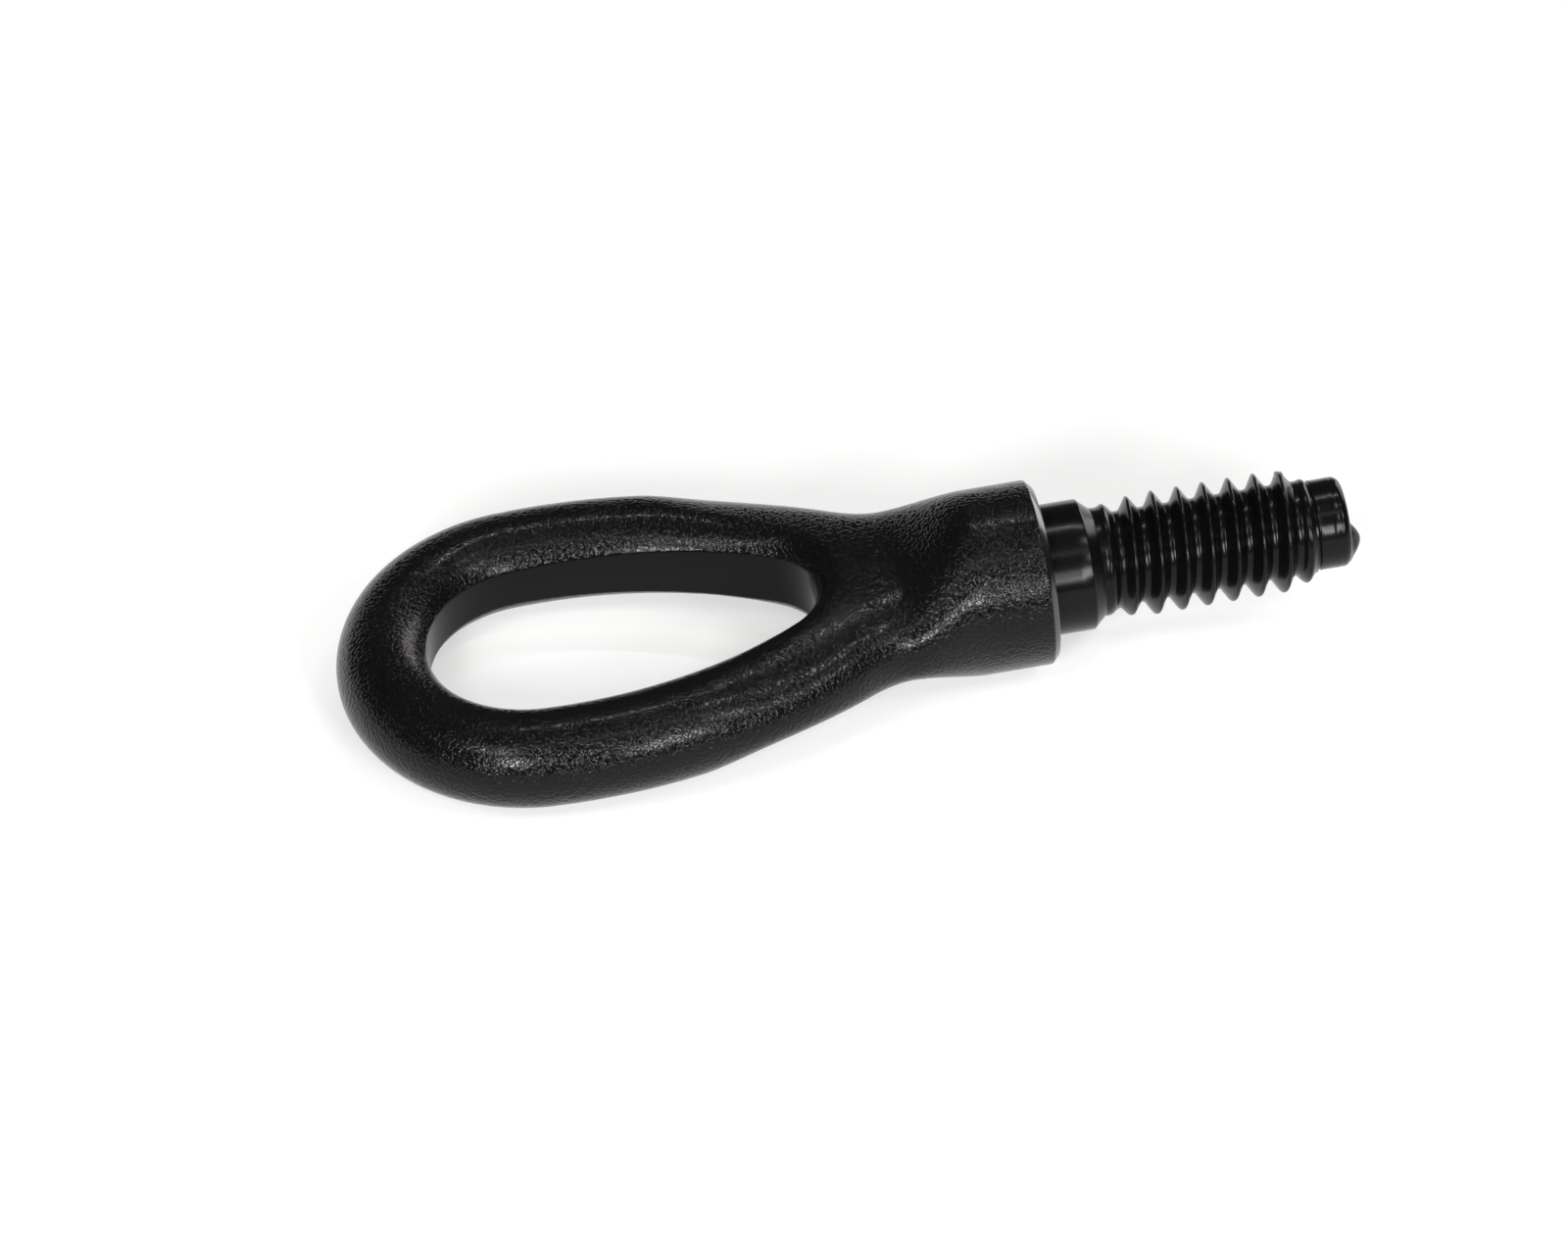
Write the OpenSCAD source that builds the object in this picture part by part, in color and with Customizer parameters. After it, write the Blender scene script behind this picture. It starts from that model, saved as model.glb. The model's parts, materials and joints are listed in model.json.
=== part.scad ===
// Tow eye, forged in one piece: a teardrop eye, a flattened neck and a round boss, and a turned
// shank with a flat shoulder, a collar, a coarse left-hand rolled thread and a plain pilot.
// It is drawn along X, from the eye to the thread, with X = 0 at the shoulder, and then laid
// down as it rests: on the back of its boss and on the far end of its eye.

/* [Eye] */
// Distance from the shoulder to the centre of the eye's far arc
far_arc_x = 79.2; // [76:0.1:86]
// Radius of the bar's centre line round the far arc
far_arc_r = 23.6; // [21:0.1:26]
// Width of the bar seen from above
bar_w = 14.1; // [12:0.1:16]
// Height of the bar
bar_h = 15; // [12:0.1:16]
// Radius of the hole's long sides
flank_r = 75.6; // [65:0.2:110]
// Distance from the shoulder to the centre of the hole's narrow end
crotch_x = 44.6; // [43:0.1:48]
// Radius of the hole's narrow end
crotch_r = 9.3; // [7.5:0.1:10.5]
// Edge radius of the hole at its narrow end
crotch_edge_r = 3.9; // [3:0.1:7]
// Height of the hole's punched wall at its far end
wall_far_h = 6.5; // [4:0.1:9]
// Height of the hole's punched wall at its narrow end
wall_crotch_h = 9; // [4:0.1:12]

/* [Neck] */
// Extra half width of the neck, over the boss
neck_spread = 2.1; // [1:0.1:4]
// Extra half height of the neck, over the bar
neck_rise = 0.7; // [0:0.1:3]
// Length over which the boss runs down to the neck
ramp_l = 13.4; // [9:0.1:18]
// Fillet length between the neck and the outer sides of the eye
neck_fillet = 2.3; // [2:0.1:8]
// How square the neck's section is, from 2 for an ellipse
neck_square = 2.45; // [2:0.05:3]

/* [Boss] */
// Radius of the boss
boss_r = 14.35; // [13:0.05:16]
// Length of the round part of the boss
boss_l = 10.6; // [8:0.1:14]
// Chamfer round the shoulder
boss_chamfer = 1; // [0.3:0.05:1.2]

/* [Collar] */
// Radius of the collar
collar_r = 10.15; // [9.7:0.05:10.8]
// Length of the collar from the shoulder to its chamfer
collar_l = 6.4; // [5:0.1:9]
// Chamfer at the collar's end
collar_chamfer = 0.6; // [0.3:0.05:0.9]
// Length of the chamfer and the cone from the collar down to the thread
cone_l = 1.9; // [1.5:0.1:3]

/* [Thread] */
// Outer radius over the thread's crests
crest_r = 9.45; // [9.2:0.05:10.2]
// Radius of the thread's root
root_r = 7.25; // [7.1:0.05:7.8]
// Radius of the blank that the thread was rolled on
blank_r = 8.4; // [8:0.05:8.8]
// Pitch of the thread
pitch = 4; // [3:0.1:5]
// Length of the threaded stretch, with its run-in and run-out
thread_l = 33.5; // [28:0.5:40]
// Length over which the crests rise at the start
run_in = 7.5; // [4:0.5:12]
// Length over which the crests fade at the end
run_out = 4.3; // [2:0.1:7]
// Turn of the whole thread about its axis
thread_turn = 0; // [0:5:355]

/* [Pilot] */
// Radius of the plain pilot at the tip
pilot_r = 7; // [6.9:0.05:7.6]
// Length of the pilot from the thread's end to its end face
pilot_l = 5.5; // [4:0.1:8]
// Radius of the pilot's end edge
tip_r = 1.3; // [0.5:0.1:2]
// Depth of the ring between the thread and the pilot
ring_depth = 0.3; // [0.1:0.05:0.4]
// Width of the ring's floor
ring_w = 0.35; // [0.2:0.05:0.8]
// Radius of the nub left on the end face
nub_r = 2.2; // [1:0.1:3]
// Height of the nub
nub_h = 2; // [0.5:0.1:3]
// Distance of the nub from the axis
nub_offset = 2.9; // [0:0.1:3.4]
// Direction of the nub about the axis, from straight down towards -Y
nub_angle = 42; // [0:1:360]

/* [Hidden] */

// Number of sections round the far arc, along a flank, into the neck and over the neck's half
far_n = 12;
flank_n = 10;
slide_n = 5;
rim_n = 12;
// Points over one section: inner round, middle and outer round
in_n = 4;
mid_n = 4;
out_n = 5;
// Part of a bar's width that its rounds take, as an angle of the ellipse
round_angle = 65;
// Part of the flank that the sections follow before they turn towards the neck
flank_share = 0.86;
// Stations along the neck and the boss
neck_n = 9;
// Points round one turn of the thread, round the turned forms and round the nub
turn_n = 36;
turned_n = 96;
nub_n = 48;
// Step for the slope of the outer side, tries for a ray that meets it, and places tried under the ramp
slope_step = 0.5;
meet_n = 12;
lean_n = 200;
// Thread profile: offset in pitches and height in thread depths
thread_profile = [[-0.5, 0], [-0.36, 0.06], [-0.23, 0.45], [-0.05, 1], [0.05, 1], [0.23, 0.45], [0.36, 0.06]];
// Direction in which a crest stands at X = 0
crest_dir = -98;
// How far a piece of the shank runs into the next one, and how the cone's end dips under the thread
lap = 3;
cone_lap = 0.9;
cone_dip = 0.35;
// Crest that took a knock: its angle about the axis, half its spread and its distance from the thread's end
knock_angle = 48;
knock_spread = 30;
knock_x = 4.3;
knock_widen = 0.08;
knock_sink = 0.1;

bar_a = bar_w / 2;
bar_b = bar_h / 2;
// The bar is a round that the punch has cut flat on the side of the hole: angle of the cut's edge
// on the round, half width of the round, and width left from the hole to the bar's crest
cut_angle = asin(wall_far_h / bar_h);
bar_out = bar_w / (1 + cos(cut_angle));
bar_in = bar_w - bar_out;
hole_far_r = far_arc_r - bar_a;
far_c = [-far_arc_x, 0];
crotch_c = [-crotch_x, 0];
span = far_arc_x - crotch_x;
far_gap = flank_r - hole_far_r;
crotch_gap = flank_r - crotch_r;
flank_dx = (far_gap * far_gap - crotch_gap * crotch_gap + span * span) / (2 * span);
// Centre of the arc that makes the hole's long side at +Y
flank_c = [far_c.x + flank_dx, -sqrt(far_gap * far_gap - flank_dx * flank_dx)];
far_dir = atan2(far_c.y - flank_c.y, far_c.x - flank_c.x);
crotch_dir = atan2(crotch_c.y - flank_c.y, crotch_c.x - flank_c.x);
// Where the eye's sections end and the neck's begin
neck_x = -(crotch_x - crotch_r - bar_a);

thread_start = collar_l + cone_l;
thread_end = thread_start + thread_l;
tip_x = thread_end + pilot_l;

// Smooth step from 0 to 1
function ease(t) = let (c = min(max(t, 0), 1)) c * c * (3 - 2 * c);
// The larger of two values, with a fillet of length k where they cross
function blend_max(a, b, k) = let (m = max(1 - abs(a - b) / k, 0)) max(a, b) + k * m * m / 4;
function mix(a, b, t) = a + (b - a) * t;
function direction(angle) = [cos(angle), sin(angle)];
function turn_of(a, b) = a.x * b.y - a.y * b.x;

// Half width of the neck and the eye, seen from above
function flank_side(x) = flank_c.y + sqrt(max(pow(flank_r + bar_w, 2) - pow(x - flank_c.x, 2), 0));
function neck_side(x) = boss_r + neck_spread * ease((-x - boss_l) / ramp_l);
function side(x) = blend_max(flank_side(x), neck_side(x), neck_fillet);

// Half height of the piece along its middle
function web_top(x) = bar_b + neck_rise * ease((x + crotch_x + crotch_r / 2) / (2 * crotch_r));
function top(x) = mix(boss_r, web_top(x), ease((-x - boss_l) / ramp_l));

// Half height of the hole's punched wall
function wall_half(x) = mix(wall_far_h, wall_crotch_h, min(max((x + far_arc_x) / span, 0), 1)) / 2;

// How far the section has turned from a bar's ellipse to the neck's squarer form
function neckness(x) = ease((x + crotch_x + bar_w) / (2 * bar_w));
// How far the hole's edge has sharpened towards its narrow end
function sharpness(x) = ease((x + crotch_x + bar_a) / (crotch_r + bar_a));
function squareness(x) = 2 + (neck_square - 2) * neckness(x) * ease((-x - boss_l) / ramp_l);
function rounding(q, n) = pow(max(1 - pow(min(max(q, 0), 1), n), 0), 1 / n);

// Point of the neck's or the boss's section at x, with phi from 90 at +Y over the top to -90
function neck_point(x, phi, inset = 0) =
    let (s = sin(phi))
    [x, (side(x) - inset) * s, (top(x) - inset) * rounding(abs(s), squareness(x))];

// Distance of a point from the hole's edge
function hole_dist(q) =
    let (v = q - flank_c)
    turn_of(v, crotch_c - flank_c) > 0 ? norm(q - crotch_c) - crotch_r
    : turn_of(v, far_c - flank_c) < 0 ? norm(q - far_c) - hole_far_r
    : norm(v) - flank_r;

// Distance of a point from the outer side of the eye or the neck
function side_slope(x) = (side(x + slope_step) - side(x - slope_step)) / (2 * slope_step);
function side_dist(q) =
    q.x < far_c.x ? hole_far_r + bar_w - norm(q - far_c)
    : q.x < flank_c.x ? flank_r + bar_w - norm(q - flank_c)
    : (side(q.x) - q.y) / sqrt(1 + pow(side_slope(q.x) * (1 - neckness(q.x)), 2));

// Half height of the forging at a point seen from above, for y of 0 or more
function height(q) =
    let (m = neckness(q.x))
    let (edge_in = mix(bar_in, crotch_edge_r, sharpness(q.x)))
    let (edge_out = mix(bar_out, side(q.x), m))
    let (left = rounding(wall_half(q.x) / top(q.x), 2))
    top(q.x) * rounding(left * (1 - hole_dist(q) / edge_in), 2)
    * rounding(1 - side_dist(q) / edge_out, squareness(q.x));

// Hole's edge from the point where the flank's sections end to the middle of the narrow end
flank_stop = mix(far_dir, crotch_dir, flank_share);
rest_flank = flank_r * (flank_stop - crotch_dir);
rest_crotch = crotch_r * crotch_dir;
function hole_edge(share) =
    let (l = share * (rest_flank + rest_crotch))
    l < rest_flank ? flank_c + flank_r * direction(flank_stop - l / flank_r)
    : crotch_c + crotch_r * direction(crotch_dir - (l - rest_flank) / crotch_r);

// Radius at which a ray from the flank's centre meets the outer side
function meet(u, r, n) =
    n == 0 ? r : meet(u, r + (side(flank_c.x + r * u.x) - flank_c.y - r * u.y) / u.y, n - 1);
function flank_line(angle) =
    let (u = direction(angle))
    [flank_c + flank_r * u, flank_c + meet(u, flank_r + bar_w, meet_n) * u, 90];

// Section lines of the eye's half at +Y: hole's edge, outer end, and the neck angle of that end
last_x = flank_line(flank_stop)[1].x;
lines = concat(
    [for (i = [0:far_n])
        let (u = direction(mix(180, far_dir, i / far_n)))
        [far_c + hole_far_r * u, far_c + (hole_far_r + bar_w) * u, 90]],
    [for (i = [1:flank_n]) flank_line(mix(far_dir, flank_stop, i / flank_n))],
    [for (i = [1:slide_n])
        let (x = mix(last_x, neck_x, i / slide_n))
        [hole_edge(i / (slide_n + rim_n)), [x, side(x)], 90]],
    [for (i = [1:rim_n])
        let (phi = 90 * (1 - i / rim_n))
        let (p = neck_point(neck_x, phi))
        [hole_edge((slide_n + i) / (slide_n + rim_n)), [p.x, p.y], phi]]
);
line_n = len(lines);
section_n = in_n + mid_n + out_n;

// Places along a section line, in mm from the hole's edge: crowded at a round outer end, and
// even where the line ends on the neck's top
function in_step(i) = bar_in * (1 - cos(mix(cut_angle, round_angle, i / in_n)) / cos(cut_angle));
function out_step(i) = bar_out * (1 - cos(round_angle * i / out_n));
function places(length, phi) =
    let (first = in_step(in_n))
    let (last = length - out_step(out_n))
    let (even_n = mid_n + out_n)
    let (crowded = concat(
        [for (i = [1:mid_n]) mix(first, last, i / mid_n)],
        [for (i = [1:out_n]) length - out_step(out_n - i)]))
    concat(
        [for (i = [0:in_n]) in_step(i)],
        [for (i = [1:even_n]) mix(mix(first, length, i / even_n), crowded[i - 1], ease(phi / 90))]
    );

// Upper points of one section, from the hole's edge to its outer end
function section_top(line) =
    let (along = line[1] - line[0])
    let (length = norm(along))
    let (open = line[2] < 90)
    let (d = places(length, line[2]))
    [for (k = [0:section_n])
        let (q = line[0] + along * d[k] / length)
        k < section_n ? [q.x, q.y, height(q)]
        : open ? neck_point(neck_x, line[2])
        : [line[1].x, line[1].y, 0]];
function below(p) = [p.x, p.y, p.z > 0 ? -p.z : 0];
function across(p) = [p.x, -p.y, p.z];
function section_loop(upper) = concat(upper, [for (k = [section_n:-1:0]) below(upper[k])]);

eye_half = [for (l = lines) section_loop(section_top(l))];
eye_sections = concat(
    eye_half,
    [for (j = [line_n - 2:-1:1]) [for (p = eye_half[j]) across(p)]]
);
eye_n = len(eye_sections);
eye_loop = 2 * section_n + 2;

// Neck and boss, one loop of points at each station
neck_loop = 4 * rim_n;
neck_stations = concat([for (i = [0:neck_n]) mix(neck_x, -boss_chamfer, i / neck_n)], [0]);
function neck_ring(x) =
    let (inset = x > -boss_chamfer ? boss_chamfer : 0)
    concat(
        [for (i = [0:2 * rim_n]) neck_point(x, 90 * (1 - i / rim_n), inset)],
        [for (i = [2 * rim_n - 1:-1:1]) below(neck_point(x, 90 * (1 - i / rim_n), inset))]
    );

// Two triangles for four corners, without those that have no area
function distinct(p, t) = p[t[0]] != p[t[1]] && p[t[1]] != p[t[2]] && p[t[0]] != p[t[2]];
function corners(a, b, c, d) = [[a, b, c], [a, c, d]];

module forged_head() {
    eye_points = [for (s = eye_sections) for (p = s) p];
    neck_points = [for (x = neck_stations) for (p = neck_ring(x)) p];
    points = concat(eye_points, neck_points);
    eye_faces = [
        for (j = [0:eye_n - 1])
        for (k = [0:eye_loop - 1])
        if (k != section_n)
        let (a = j * eye_loop)
        let (b = ((j + 1) % eye_n) * eye_loop)
        let (next = (k + 1) % eye_loop)
        for (t = corners(a + k, a + next, b + next, b + k))
        if (distinct(points, t)) t
    ];
    base = len(eye_points);
    neck_faces = [
        for (s = [0:neck_n])
        for (i = [0:neck_loop - 1])
        let (a = base + s * neck_loop + i)
        let (b = base + s * neck_loop + (i + 1) % neck_loop)
        for (t = corners(a, a + neck_loop, b + neck_loop, b))
        if (distinct(points, t)) t
    ];
    shoulder = [for (i = [neck_loop - 1:-1:0]) base + (neck_n + 1) * neck_loop + i];
    color([0.09, 0.09, 0.1]) polyhedron(points, concat(eye_faces, neck_faces, [shoulder]), convexity = 6);
}

// Radius of the thread's crests and roots along the shank
function rise(x, l) = min(max((x - thread_start) / l, 0), 1);
function fade(x) = 1 - pow(min(max((x - thread_end + run_out) / run_out, 0), 1), 2);
function root_at(x) = mix(blank_r, root_r, ease(rise(x, run_in / 2)));
function crest_at(x) = mix(root_at(x), mix(blank_r, crest_r, rise(x, run_in)), fade(x));

// How much the knock has changed the thread at a place, from 0 to 1
function knock(x, angle) =
    let (a = abs(((angle - knock_angle) % 360 + 540) % 360 - 180) / knock_spread)
    abs(x - thread_end + knock_x) < pitch / 2 ? max(1 - a * a, 0) : 0;

module thread_barrel() {
    profile_n = len(thread_profile);
    first_turn = floor(thread_start / pitch) - 2;
    strip_n = profile_n * (ceil(thread_l / pitch) + 4);
    // Left-hand: the angle about the axis falls as the thread runs towards the tip
    points = [
        for (s = [0:strip_n])
        for (j = [0:turn_n])
        let (form = thread_profile[s % profile_n])
        let (angle = crest_dir + thread_turn - 360 * j / turn_n)
        let (centre = (first_turn + floor(s / profile_n) + j / turn_n) * pitch)
        let (hit = form[1] == 1 ? knock(centre, angle) : 0)
        let (free_x = centre + (form[0] + sign(form[0]) * knock_widen * hit) * pitch)
        let (x = min(max(free_x, thread_start), thread_end))
        let (r = mix(root_at(x), crest_at(x), form[1] - knock_sink * hit))
        [x, r * cos(angle), r * sin(angle)]
    ];
    row = turn_n + 1;
    wall = [
        for (s = [0:strip_n - 1])
        for (j = [0:turn_n - 1])
        let (a = s * row + j)
        for (t = corners(a, a + 1, a + row + 1, a + row))
        if (distinct(points, t)) t
    ];
    start_cap = [for (j = [turn_n - 1:-1:0]) j];
    end_cap = [for (j = [0:turn_n - 1]) strip_n * row + j];
    color([0.12, 0.12, 0.13]) polyhedron(points, concat(wall, [start_cap, end_cap]), convexity = 10);
}

// A turned form: the profile is a list of [distance along the shank, radius]
module turned(profile) {
    rotate([0, 90, 0])
        rotate_extrude($fn = turned_n)
        polygon([for (p = profile) [p[1], p[0]]]);
}

module collar() {
    cone_end = thread_start + cone_lap;
    color([0.12, 0.12, 0.13]) turned([
        [-lap, 0], [-lap, collar_r], [collar_l, collar_r],
        [collar_l + collar_chamfer, collar_r - collar_chamfer],
        [cone_end, blank_r - cone_dip], [cone_end, 0]
    ]);
}

module pilot() {
    ring_r = pilot_r - ring_depth;
    edge = [for (a = [0:15:90]) [tip_x - tip_r * (1 - sin(a)), pilot_r - tip_r * (1 - cos(a))]];
    color([0.12, 0.12, 0.13]) turned(concat(
        [[thread_end - lap, 0], [thread_end - lap, ring_r], [thread_end + ring_w, ring_r],
            [thread_end + ring_w + ring_depth, pilot_r]],
        edge,
        [[tip_x, 0]]
    ));
}

// Low rounded nub left where the bar was cropped, beside the axis
module nub() {
    dome_r = (nub_r * nub_r + nub_h * nub_h) / (2 * nub_h);
    color([0.12, 0.12, 0.13])
        rotate([-nub_angle, 0, 0])
        translate([tip_x, 0, -nub_offset])
        intersection() {
            translate([nub_h - dome_r, 0, 0]) sphere(r = dome_r, $fn = nub_n);
            rotate([0, 90, 0]) translate([0, 0, -1]) cylinder(r = nub_r, h = nub_h + 2, $fn = nub_n);
        }
}

// How the piece lies: angle of a line under the far end of the eye and under the boss
far_end_x = -(far_arc_x + hole_far_r + bar_in);
function lean(x) =
    let (dx = x - far_end_x)
    atan2(top(x), dx) - asin(bar_b / norm([dx, top(x)]));
leans = [for (i = [0:lean_n]) lean(-boss_l - ramp_l * i / lean_n)];
rest_tilt = max(leans);

module tow_eye() {
    rotate([0, -rest_tilt, 0]) {
        forged_head();
        collar();
        thread_barrel();
        pilot();
        nub();
    }
}

tow_eye();
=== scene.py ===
"""Tow eye: the forged head, the turned shank, their black coat, and the studio round them."""

import json
import math

import bmesh
import bpy
from bpy.props import FloatProperty, FloatVectorProperty, PointerProperty
from mathutils import Matrix, Vector, noise


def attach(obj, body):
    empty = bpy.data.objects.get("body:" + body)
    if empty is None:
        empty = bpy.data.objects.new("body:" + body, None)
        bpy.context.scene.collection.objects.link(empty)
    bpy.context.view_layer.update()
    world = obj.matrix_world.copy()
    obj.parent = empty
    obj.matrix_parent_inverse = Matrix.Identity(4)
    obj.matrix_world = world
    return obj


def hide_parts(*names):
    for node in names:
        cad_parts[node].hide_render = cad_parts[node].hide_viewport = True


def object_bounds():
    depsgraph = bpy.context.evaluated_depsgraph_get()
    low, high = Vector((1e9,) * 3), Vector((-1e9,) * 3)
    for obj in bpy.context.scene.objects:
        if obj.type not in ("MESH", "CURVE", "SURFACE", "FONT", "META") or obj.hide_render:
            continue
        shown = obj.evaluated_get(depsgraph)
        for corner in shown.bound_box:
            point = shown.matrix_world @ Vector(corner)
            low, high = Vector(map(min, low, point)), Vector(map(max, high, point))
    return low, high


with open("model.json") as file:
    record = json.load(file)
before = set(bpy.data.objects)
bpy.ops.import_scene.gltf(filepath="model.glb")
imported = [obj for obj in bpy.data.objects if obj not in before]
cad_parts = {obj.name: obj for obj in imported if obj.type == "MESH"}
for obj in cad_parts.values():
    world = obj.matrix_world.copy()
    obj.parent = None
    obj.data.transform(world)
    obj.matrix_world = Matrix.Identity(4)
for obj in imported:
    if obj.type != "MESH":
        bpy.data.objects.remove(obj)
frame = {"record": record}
CAD_BOX = [list(corner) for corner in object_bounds()]

bl_info = {
    "name": "Tow Eye",
    "version": (1, 0, 0),
    "blender": (4, 5, 0),
    "location": "View3D > Sidebar > Tow Eye",
    "description": "Builds a forged tow eye with a left-hand thread, its black coat and a small studio",
    "category": "Add Mesh",
}

NODE = "tow_eye"
MM = 0.001

# Material slots of the head's faces, after 0 for the forged skin
TURNED, EDGE = 1, 2

# Closer points are joined, and steeper corners stay sharp
WELD = 2e-6
SHARP_CORNER = math.radians(38)


def length(name, description, millimetres, low=0.0):
    """A length setting, written in millimetres and kept in metres."""
    return FloatProperty(
        name=name,
        description=description,
        default=millimetres * MM,
        min=low * MM,
        subtype="DISTANCE",
        unit="LENGTH",
        precision=5,
    )


def share(name, description, default):
    return FloatProperty(name=name, description=description, default=default, min=0.0, max=1.0)


def colour(name, description, default):
    return FloatVectorProperty(
        name=name, description=description, default=default, subtype="COLOR", size=3, min=0.0, max=1.0
    )


def lamp_level(name, description, default):
    return FloatProperty(name=name, description=description, default=default, min=0.0)


class HeadSizes(bpy.types.PropertyGroup):
    """Sizes of the eye, the neck and the boss."""

    far_arc_x: length("Far arc", "Distance from the shoulder to the centre of the far arc", 79.2)
    far_arc_r: length("Far arc radius", "Radius of the bar's centre line round the far arc", 23.6)
    bar_w: length("Bar width", "Width of the bar seen from above", 14.1)
    bar_h: length("Bar height", "Height of the bar", 15.0)
    flank_r: length("Flank radius", "Radius of the hole's long sides", 75.6)
    crotch_x: length("Crotch", "Distance from the shoulder to the centre of the hole's narrow end", 44.6)
    crotch_r: length("Crotch radius", "Radius of the hole's narrow end", 9.3)
    crotch_edge_r: length("Crotch edge", "Edge radius of the hole at its narrow end", 3.9)
    wall_far_h: length("Wall at the far end", "Height of the hole's punched wall at its far end", 6.5)
    wall_crotch_h: length("Wall at the crotch", "Height of the hole's punched wall at its narrow end", 9.0)
    neck_spread: length("Neck spread", "Extra half width of the neck over the boss", 2.1)
    neck_rise: length("Neck rise", "Extra half height of the neck over the bar", 0.7)
    ramp_l: length("Ramp", "Length over which the boss runs down to the neck", 13.4)
    neck_fillet: length("Neck fillet", "Fillet between the neck and the outer sides of the eye", 2.3)
    neck_square: FloatProperty(
        name="Neck squareness",
        description="How square the neck's section is, from 2 for an ellipse",
        default=2.45,
        min=2.0,
        max=3.0,
    )
    boss_r: length("Boss radius", "Radius of the boss", 14.35)
    boss_l: length("Boss length", "Length of the round part of the boss", 10.6)
    boss_chamfer: length("Rim chamfer", "Chamfer round the shoulder", 1.0)
    waviness: length("Waviness", "How far the forged skin wanders from the drawn form", 0.03)


class ShankSizes(bpy.types.PropertyGroup):
    """Sizes of the collar, the thread, the pilot and the nub."""

    collar_r: length("Collar radius", "Radius of the collar", 10.15)
    collar_l: length("Collar length", "Length from the shoulder to the collar's chamfer", 6.4)
    collar_chamfer: length("Collar chamfer", "Chamfer at the collar's end", 0.6)
    cone_l: length("Cone length", "Chamfer and cone from the collar to the thread", 1.9)
    crest_r: length("Crest radius", "Outer radius over the thread's crests", 9.45)
    root_r: length("Root radius", "Radius of the thread's root", 7.25)
    blank_r: length("Blank radius", "Radius of the blank that the thread was rolled on", 8.4)
    pitch: length("Pitch", "Pitch of the left-hand thread", 4.0, low=1.0)
    thread_l: length("Thread length", "Threaded stretch with its run-in and run-out", 33.5)
    run_in: length("Run-in", "Length over which the crests rise at the start", 7.5)
    run_out: length("Run-out", "Length over which the crests fade at the end", 4.3)
    pilot_r: length("Pilot radius", "Radius of the plain pilot", 7.0)
    pilot_l: length("Pilot length", "Length from the thread's end to the end face", 5.5)
    tip_r: length("Tip edge", "Radius of the pilot's end edge", 1.3)
    ring_depth: length("Ring depth", "Depth of the ring between the thread and the pilot", 0.3)
    ring_w: length("Ring width", "Width of the ring's floor", 0.35)
    nub_r: length("Nub radius", "Radius of the nub on the end face", 2.2)
    nub_h: length("Nub height", "Height of the nub", 2.0)
    nub_offset: length("Nub offset", "Distance of the nub from the axis", 2.9)
    nub_angle: FloatProperty(
        name="Nub direction",
        description="Direction of the nub about the axis, from straight down towards the camera",
        default=math.radians(42.0),
        subtype="ANGLE",
    )


class CoatLook(bpy.types.PropertyGroup):
    """Colours, gloss and relief of the black coat."""

    forged: colour("Forged coat", "Colour of the coat on the forged skin", (0.0028, 0.0026, 0.0028))
    forged_thin: colour("Thin spots", "Colour where the skin's coat is thin", (0.006, 0.0057, 0.0056))
    turned: colour("Turned coat", "Colour of the coat on the turned faces", (0.0028, 0.0026, 0.003))
    forged_gloss: share("Forged roughness", "Roughness of the coat on the forged skin", 0.1)
    turned_gloss: share("Turned roughness", "Roughness of the coat on the turned faces", 0.2)
    forged_shine: share("Forged shine", "Specular level of the coat on the forged skin", 0.19)
    turned_shine: share("Turned shine", "Specular level of the coat on the turned faces", 0.16)
    edge_shine: share("Rim shine", "Specular level of the coat on the shoulder's rim", 0.9)
    pebble: length("Pebble size", "Size of the pebbles in the forged skin", 0.58, low=0.1)
    pebble_depth: length("Pebble depth", "Depth of the relief on the forged skin", 0.054)
    tool_depth: length("Tool mark depth", "Depth of the relief on the turned faces", 0.002)


class StudioSetup(bpy.types.PropertyGroup):
    """Floor, lamps and surroundings."""

    floor: colour("Floor", "Colour of the floor", (0.62, 0.62, 0.62))
    floor_lift: share("Floor lift", "Glow of the floor for camera, glossy and transmission rays", 0.45)
    left: lamp_level("Left box", "Radiance of the soft box in front on the left", 44.0)
    left_high: lamp_level("Upper left box", "Radiance of the soft box higher up on the left", 10.0)
    right: lamp_level("Right box", "Radiance of the soft box in front on the right", 21.0)
    core: lamp_level("Right core", "Radiance of the small lamp in the right box's lower corner", 30.0)
    right_high: lamp_level("Upper right box", "Radiance of the soft box higher up on the right", 11.0)
    top: lamp_level("Top lamp", "Radiance of the small lamp high on the right", 12.0)
    card: lamp_level("Warm card", "Radiance of the long warm card above the camera", 2.0)
    strip: lamp_level("Strip lamp", "Radiance of the thin strip behind the object", 70.0)
    back: lamp_level("Back lamp", "Radiance of the weak lamp behind on the right", 4.0)
    world: lamp_level("Surroundings", "Radiance of the surroundings", 0.08)


def ease(value):
    """Soft step from 0 to 1."""
    value = min(max(value, 0.0), 1.0)
    return value * value * (3.0 - 2.0 * value)


def mix(a, b, t):
    return a + (b - a) * t


def blend_max(a, b, fillet):
    """The larger of two heights, with a fillet where they cross."""
    lap = max(1.0 - abs(a - b) / fillet, 0.0)
    return max(a, b) + fillet * lap * lap / 4.0


def superellipse(q, power):
    """Height of a unit superellipse at the place q."""
    q = min(max(q, 0.0), 1.0)
    return max(1.0 - q**power, 0.0) ** (1.0 / power)


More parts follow.
